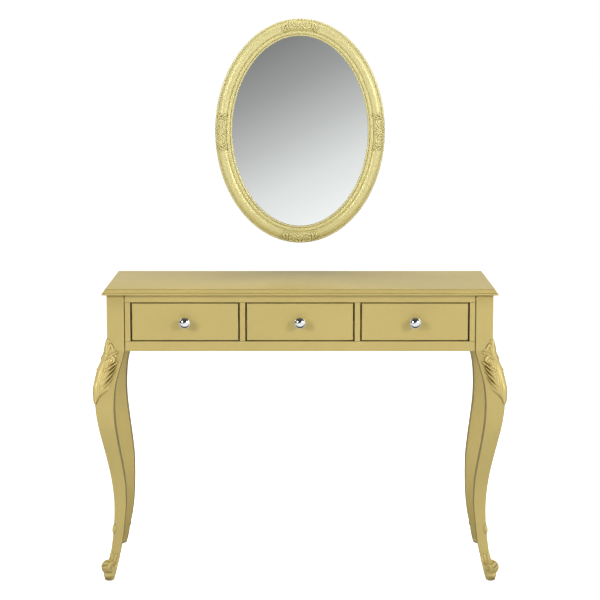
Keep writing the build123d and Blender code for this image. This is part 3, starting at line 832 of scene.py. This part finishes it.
def ornament(name, middle_turn):
    """A spray of scrolls and leaves laid along the band, the same on both sides of its middle."""
    columns, rows = 181, 56
    along = np.linspace(-ORNAMENT_HALF_LENGTH, ORNAMENT_HALF_LENGTH, columns)
    inset = np.linspace(0.2, ORNAMENT_DEPTH, rows)
    where = np.array([(abs(s), d) for d in inset for s in along])
    lift = carve(where, ORNAMENT_HALF, np.full(len(where), -1.2)) + 0.2
    profile = sorted({d: rise for d, rise in frame_profile() if rise > 5}.items())
    band = np.interp(where[:, 1], [d for d, rise in profile], [rise for d, rise in profile])
    edge = np.clip((ORNAMENT_HALF_LENGTH - where[:, 0]) / 1.5, 0, 1)
    rise = band + np.where(edge < 1, np.minimum(lift, 6 * edge - 1), lift)
    speed = math.hypot(HALF_WIDTH * math.sin(middle_turn), HALF_HEIGHT * math.cos(middle_turn))
    places = np.tile(along, rows)
    points = [rim_point(middle_turn + s / speed, d, height)
              for s, (_, d), height in zip(places, where, rise)]
    under = [rim_point(middle_turn + s / speed, d, ORNAMENT_BASE) for s, (_, d) in zip(places, where)]
    count = len(points)
    faces = grid_faces(rows, columns) + grid_faces(rows, columns, start=count)
    border = ([(0, c) for c in range(columns - 1)]
              + [(r, columns - 1) for r in range(rows - 1)]
              + [(rows - 1, c) for c in range(columns - 1, 0, -1)]
              + [(r, 0) for r in range(rows - 1, 0, -1)])
    rim = [r * columns + c for r, c in border]
    for here, there in zip(rim, rim[1:] + rim[:1]):
        faces.append((here, there, there + count, here + count))
    # Relief shading: painted shade in the cuts and a painted highlight on the crests; the underside stays
    # neutral.
    relief_shading = np.concatenate([cavity_of(np.maximum(lift, -0.6), rows, columns), np.full(count, 0.5)])
    make_piece(f"{name}_carved", np.array(points + under) * MM, faces, ornament_paint, "mirror",
               replaces=(name,), relief_shading=relief_shading)


mirror_frame()
bead_ring()
for name, turn in (("ornament_right", 0.0), ("ornament_top", 0.5 * math.pi),
                   ("ornament_left", math.pi), ("ornament_bottom", 1.5 * math.pi)):
    ornament(name, turn)


# ---- studio: floor, glossy surround, lights, camera -------------------------------------------
def emission(name, nodes_for):
    """An emissive stage material whose strength is built by the function given."""
    material = bpy.data.materials.new(name)
    material.use_nodes = True
    nodes, links = material.node_tree.nodes, material.node_tree.links
    nodes.clear()
    glow = nodes.new("ShaderNodeEmission")
    output = nodes.new("ShaderNodeOutputMaterial")
    links.new(glow.outputs["Emission"], output.inputs["Surface"])
    nodes_for(nodes, links, glow)
    return material


def height_glow(stops, top, slope):
    """Grey by height, tipped a little along X: stops are (height, level) up to the top height."""
    def build(nodes, links, glow):
        position = nodes.new("ShaderNodeNewGeometry").outputs["Position"]
        split = nodes.new("ShaderNodeSeparateXYZ")
        links.new(position, split.inputs["Vector"])
        tipped = nodes.new("ShaderNodeMath")
        tipped.operation = "MULTIPLY_ADD"
        tipped.inputs[1].default_value = slope
        links.new(split.outputs["X"], tipped.inputs[0])
        links.new(split.outputs["Z"], tipped.inputs[2])
        share = nodes.new("ShaderNodeMapRange")
        share.inputs["From Max"].default_value = top
        links.new(tipped.outputs["Value"], share.inputs["Value"])
        ramp = nodes.new("ShaderNodeValToRGB")
        elements = ramp.color_ramp.elements
        while len(elements) < len(stops):
            elements.new(0.5)
        for element, (height, level) in zip(elements, stops):
            element.position = height / top
            element.color = (level, level * 1.005, level * 0.995, 1)
        links.new(share.outputs["Result"], ramp.inputs["Fac"])
        links.new(ramp.outputs["Color"], glow.inputs["Color"])
    return build


# What glossy rays meet all round, as (height in metres, grey level).
ROOM_HEIGHT = 6.0
FRONT_ROOM = [(0.0, 1.0), (0.39, 0.82), (0.73, 0.58), (1.07, 0.385), (1.40, 0.26), (1.9, 0.14),
              (2.8, 0.05), (6.0, 0.03)]
BACK_ROOM = [(0.0, 0.06), (0.7, 0.25), (1.2, 0.66), (1.8, 0.8), (3.4, 0.7), (4.2, 0.3), (6.0, 0.1)]


def stage_mesh(name, points, faces, material):
    mesh = bpy.data.meshes.new(name)
    mesh.from_pydata(points, [], faces)
    mesh.materials.append(material)
    obj = bpy.data.objects.new(name, mesh)
    bpy.context.scene.collection.objects.link(obj)
    return obj


def reflected_only(obj):
    """A stage piece that only glossy rays meet."""
    obj.visible_camera = False
    obj.visible_diffuse = False
    obj.visible_shadow = False
    obj.visible_transmission = False


def surround():
    """Two half-round walls and a strip of floor in front, for reflections."""
    radius, top, steps = 8.0, 9.0, 32
    walls = (("front_room", math.pi, FRONT_ROOM, -0.5), ("back_room", 0.0, BACK_ROOM, 0.0))
    for name, start, room, slope in walls:
        turns = [start + math.pi * n / steps for n in range(steps + 1)]
        points = [(radius * math.cos(t), radius * math.sin(t), z) for z in (-0.05, top) for t in turns]
        glow = emission(name, height_glow(room, ROOM_HEIGHT, slope))
        reflected_only(stage_mesh(name, points, grid_faces(2, steps + 1), glow))
    apron = [(-8.0, -8.0, 0.001), (8.0, -8.0, 0.001), (8.0, -0.6, 0.001), (-8.0, -0.6, 0.001)]
    card = stage_mesh("front_floor", apron, [(0, 1, 2, 3)],
                      emission("front_floor", height_glow([(0.0, 0.95), (1.0, 0.95)], 1.0, 0.0)))
    reflected_only(card)


def floor():
    """A pale floor, brightened for camera rays so that it meets the white world unseen."""
    pale = Shader("pale_floor", roughness=0.9)
    tint = pale.ramp(pale.noise(3.0), [(0.3, (0.56, 0.56, 0.555)), (0.7, (0.58, 0.58, 0.575))])
    pale.link(tint, pale.surface.inputs["Base Color"])
    pale.surface.inputs["Emission Color"].default_value = (1, 1, 1, 1)
    seen = pale.nodes.new("ShaderNodeLightPath").outputs["Is Camera Ray"]
    pale.link(pale.span(seen, 0.0, 0.78), pale.surface.inputs["Emission Strength"])
    half = 30.0
    sheet = stage_mesh("floor", [(-half, -half, 0), (half, -half, 0), (half, half, 0), (-half, half, 0)],
                       [(0, 1, 2, 3)], pale.material)
    sheet.visible_glossy = False


def steady_glow(strength):
    """The same white all over."""
    def build(nodes, links, glow):
        glow.inputs["Strength"].default_value = strength
    return build


def soft_light(name, place, size, power, shine=0.0):
    """A rectangular lamp aimed at the table, hidden from reflections.

    Where shine is given, reflections show a dimmer card of the lamp's own size instead.
    """
    lamp = bpy.data.lights.new(name, "AREA")
    lamp.shape = "RECTANGLE"
    lamp.size, lamp.size_y = size
    lamp.energy = power
    obj = bpy.data.objects.new(name, lamp)
    bpy.context.scene.collection.objects.link(obj)
    obj.location = place
    obj.rotation_euler = (Vector(AIM) - Vector(place)).to_track_quat("-Z", "Y").to_euler()
    obj.visible_camera = False
    obj.visible_glossy = False
    if shine:
        turn = obj.rotation_euler.to_matrix()
        corners = [(-0.5, -0.5), (0.5, -0.5), (0.5, 0.5), (-0.5, 0.5)]
        points = [Vector(place) + turn @ Vector((x * size[0], y * size[1], 0)) for x, y in corners]
        glow = emission(f"{name}_card", steady_glow(shine))
        reflected_only(stage_mesh(f"{name}_card", points, [(0, 1, 2, 3)], glow))


def white_world():
    """White to the camera, a little under white as light, dark to reflections."""
    world = bpy.data.worlds.new("studio")
    bpy.context.scene.world = world
    world.use_nodes = True
    nodes, links = world.node_tree.nodes, world.node_tree.links
    nodes.clear()
    path = nodes.new("ShaderNodeLightPath")
    light = nodes.new("ShaderNodeBackground")
    light.inputs["Strength"].default_value = 0.52
    dark = nodes.new("ShaderNodeBackground")
    dark.inputs["Strength"].default_value = 0.10
    white = nodes.new("ShaderNodeBackground")
    white.inputs["Color"].default_value = (1, 1, 1, 1)
    white.inputs["Strength"].default_value = 1.0
    light.inputs["Color"].default_value = (1, 1, 1, 1)
    dark.inputs["Color"].default_value = (1, 1, 1, 1)
    glossy = nodes.new("ShaderNodeMixShader")
    seen = nodes.new("ShaderNodeMixShader")
    output = nodes.new("ShaderNodeOutputWorld")
    links.new(path.outputs["Is Glossy Ray"], glossy.inputs[0])
    links.new(light.outputs[0], glossy.inputs[1])
    links.new(dark.outputs[0], glossy.inputs[2])
    links.new(path.outputs["Is Camera Ray"], seen.inputs[0])
    links.new(glossy.outputs[0], seen.inputs[1])
    links.new(white.outputs[0], seen.inputs[2])
    links.new(seen.outputs[0], output.inputs["Surface"])


AIM = (0, 0, 0.75)
CAMERA_PLACE = (0.0, -5.119, 1.405)
CAMERA_TIP = 7.78
CAMERA_LENS = 117.5


def camera():
    """A long lens straight in front, above the table top, tipped down."""
    data = bpy.data.cameras.new("camera")
    data.lens = CAMERA_LENS
    data.sensor_width = 36.0
    obj = bpy.data.objects.new("camera", data)
    bpy.context.scene.collection.objects.link(obj)
    obj.location = CAMERA_PLACE
    obj.rotation_euler = (math.radians(90 - CAMERA_TIP), 0, 0)
    bpy.context.scene.camera = obj


bpy.context.scene.view_settings.view_transform = "Standard"
surround()
floor()
white_world()
soft_light("key_left", (-3.0, -3.4, 2.2), (1.3, 1.3), 140, shine=8.0)
soft_light("key_right", (3.0, -3.4, 2.2), (1.3, 1.3), 124, shine=8.0)
soft_light("overhead", (0.0, 0.7, 3.8), (3.0, 2.0), 135)
camera()
